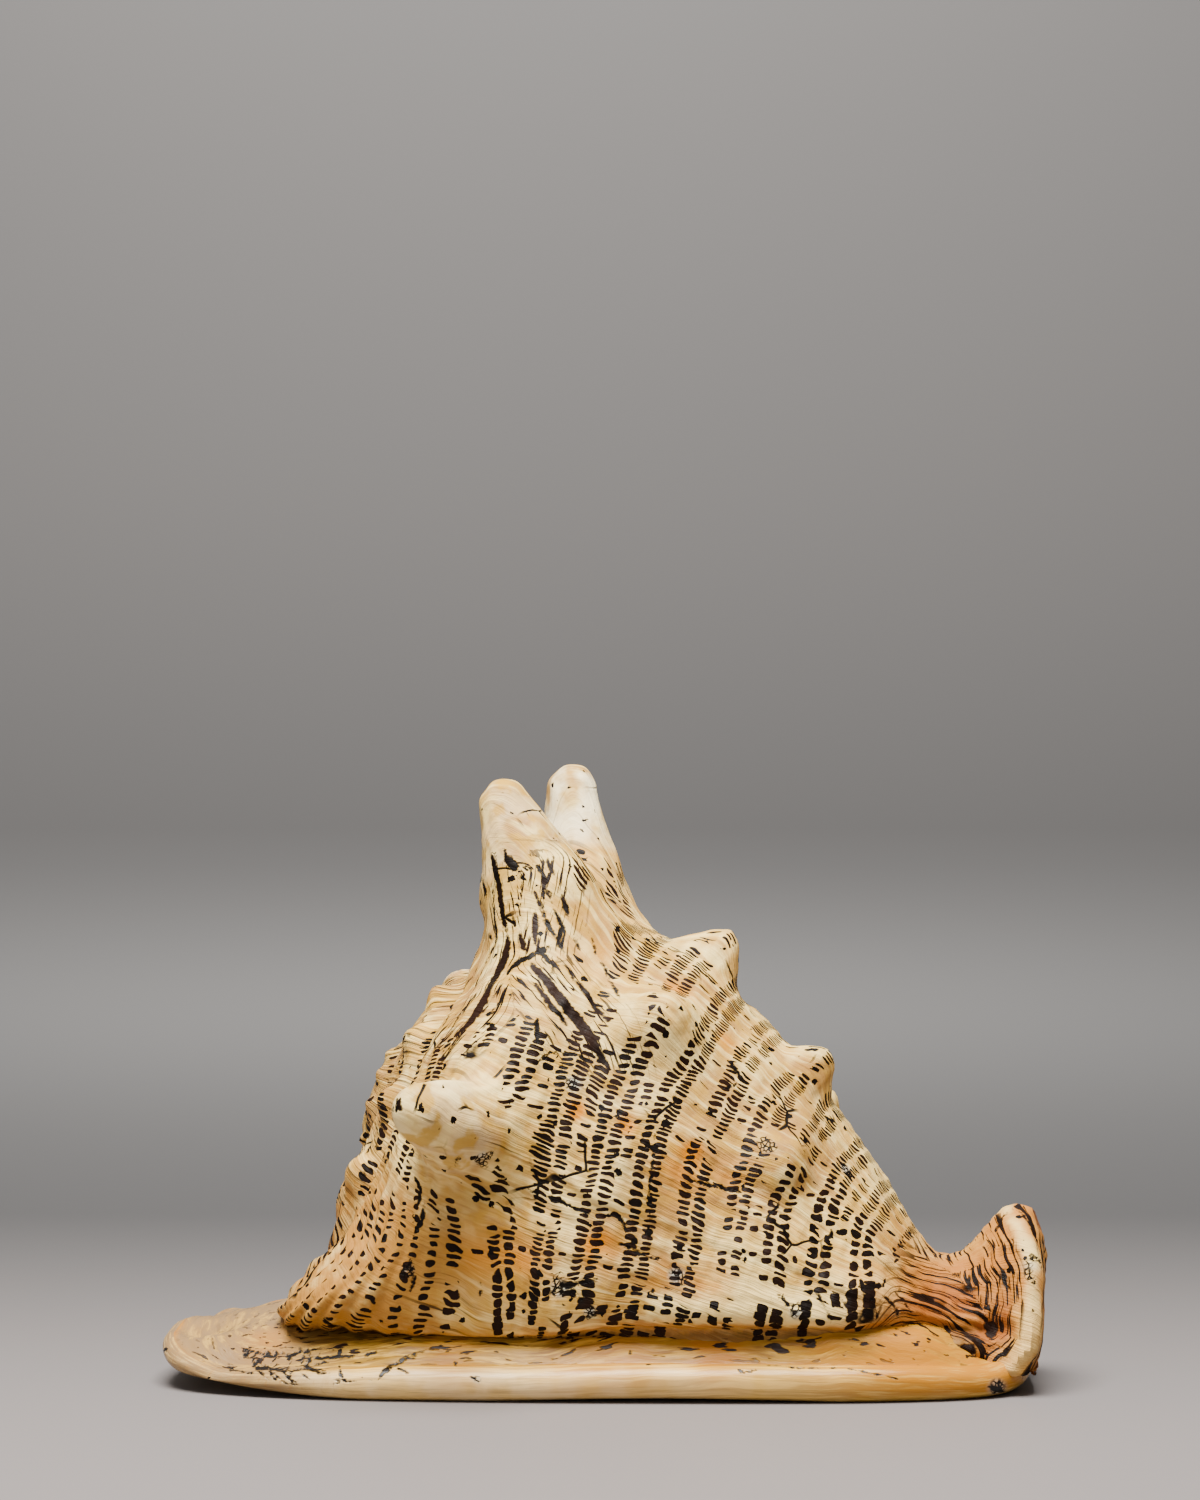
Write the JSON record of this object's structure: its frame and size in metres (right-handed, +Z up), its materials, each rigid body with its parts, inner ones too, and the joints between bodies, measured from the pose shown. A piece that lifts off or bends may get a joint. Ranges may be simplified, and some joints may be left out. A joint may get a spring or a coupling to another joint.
{
  "type": "helmet conch shell",
  "caption": "Large horned helmet conch shell lying on its thick outer lip, with blunt horns, a long toothed mouth slit, a broad shield and an upturned canal.",
  "frame": {"origin": "middle of the bounding box at the height of the surface that the shell rests on", "axes": "+X along the shell's length towards the upturned canal, with the spire at -X; -Y towards the outer lip; +Z up"},
  "size_m": [0.2742, 0.214, 0.1902],
  "materials": {
    "shell": "satin, polished by handling, glossy on the lip"
  },
  "bodies": {
    "root": {"shell": "shell"}
  },
  "joints": []
}
